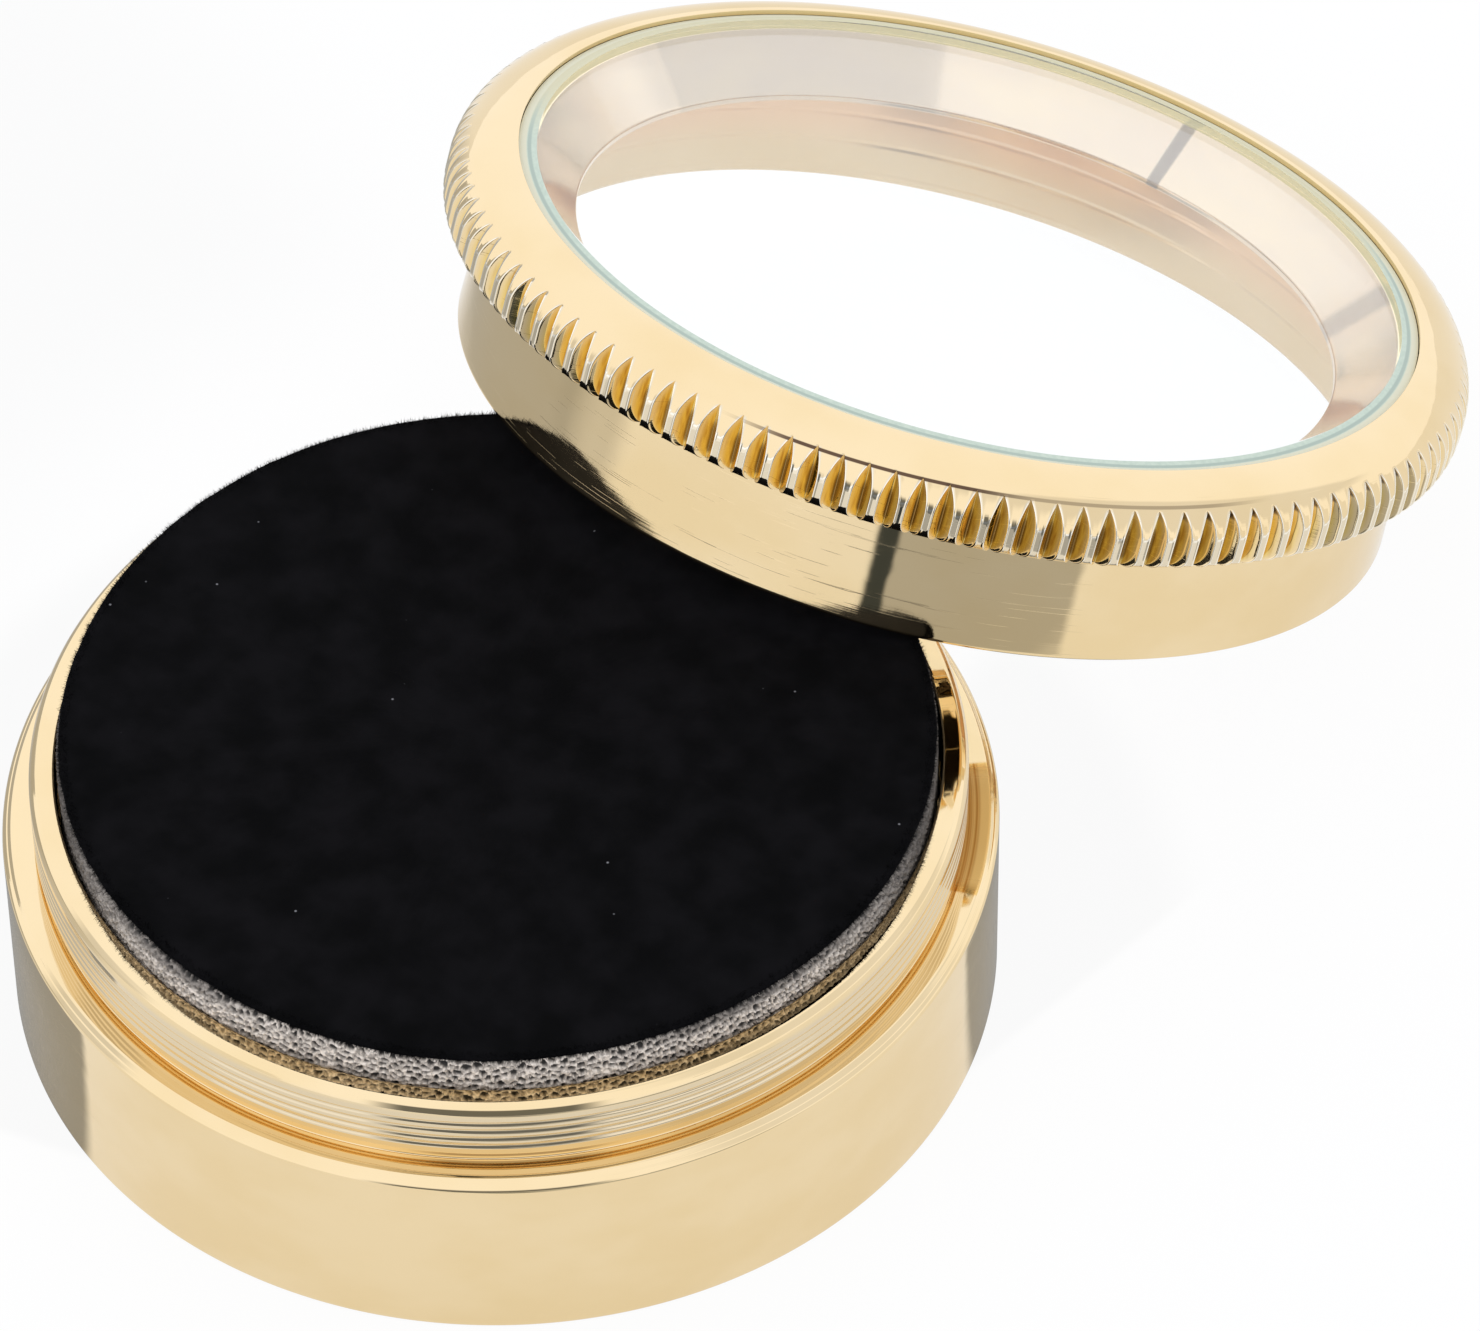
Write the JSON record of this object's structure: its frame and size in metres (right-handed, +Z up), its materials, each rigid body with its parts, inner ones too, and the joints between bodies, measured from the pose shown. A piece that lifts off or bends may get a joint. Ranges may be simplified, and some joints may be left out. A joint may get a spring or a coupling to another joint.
{
  "type": "gemstone display box",
  "caption": "Round gold-plated gem box: threaded cup with a velvet-topped foam pad, and a knurled screw lid with a bevelled glass window, set down open against the pad.",
  "frame": {"origin": "centre of the cup's underside, on the table", "axes": "+Z up along the cup's axis; +Y towards the side that the open lid leans over; +X to the right of that"},
  "size_m": [0.0399, 0.0657, 0.0209],
  "materials": {
    "gold_plate": "polished pale gold plating",
    "seat_metal": "polished, pale champagne silver",
    "glass": "clear, faint green at the ground edge",
    "foam": "grey open-cell foam",
    "velvet": "black flocked velvet"
  },
  "bodies": {
    "cup": {"base_cup": "gold_plate", "foam_pad": "foam"},
    "pad_top": {"velvet_disc": "velvet"},
    "window": {"window_glass": "glass", "seat_ring": "seat_metal"},
    "lid": {"lid_ring": "gold_plate"}
  },
  "joints": [
    {"name": "pad_press", "type": "slide", "parent": "cup", "child": "pad_top", "axis": [0, 0, 1], "range_m": [-0.0015, 0], "stiffness_N_per_m": 800, "deforming": ["foam_pad"]},
    {"name": "lid_lift", "type": "slide", "parent": "cup", "child": "window", "axis": [0, 0, 1], "range_m": [0, 0.045]},
    {"name": "lid_turn", "type": "hinge", "parent": "window", "child": "lid", "pos_m": [-0.00115, 0.0266, 0.00683], "axis": [0, 0.3725, 0.928], "continuous": true}
  ]
}
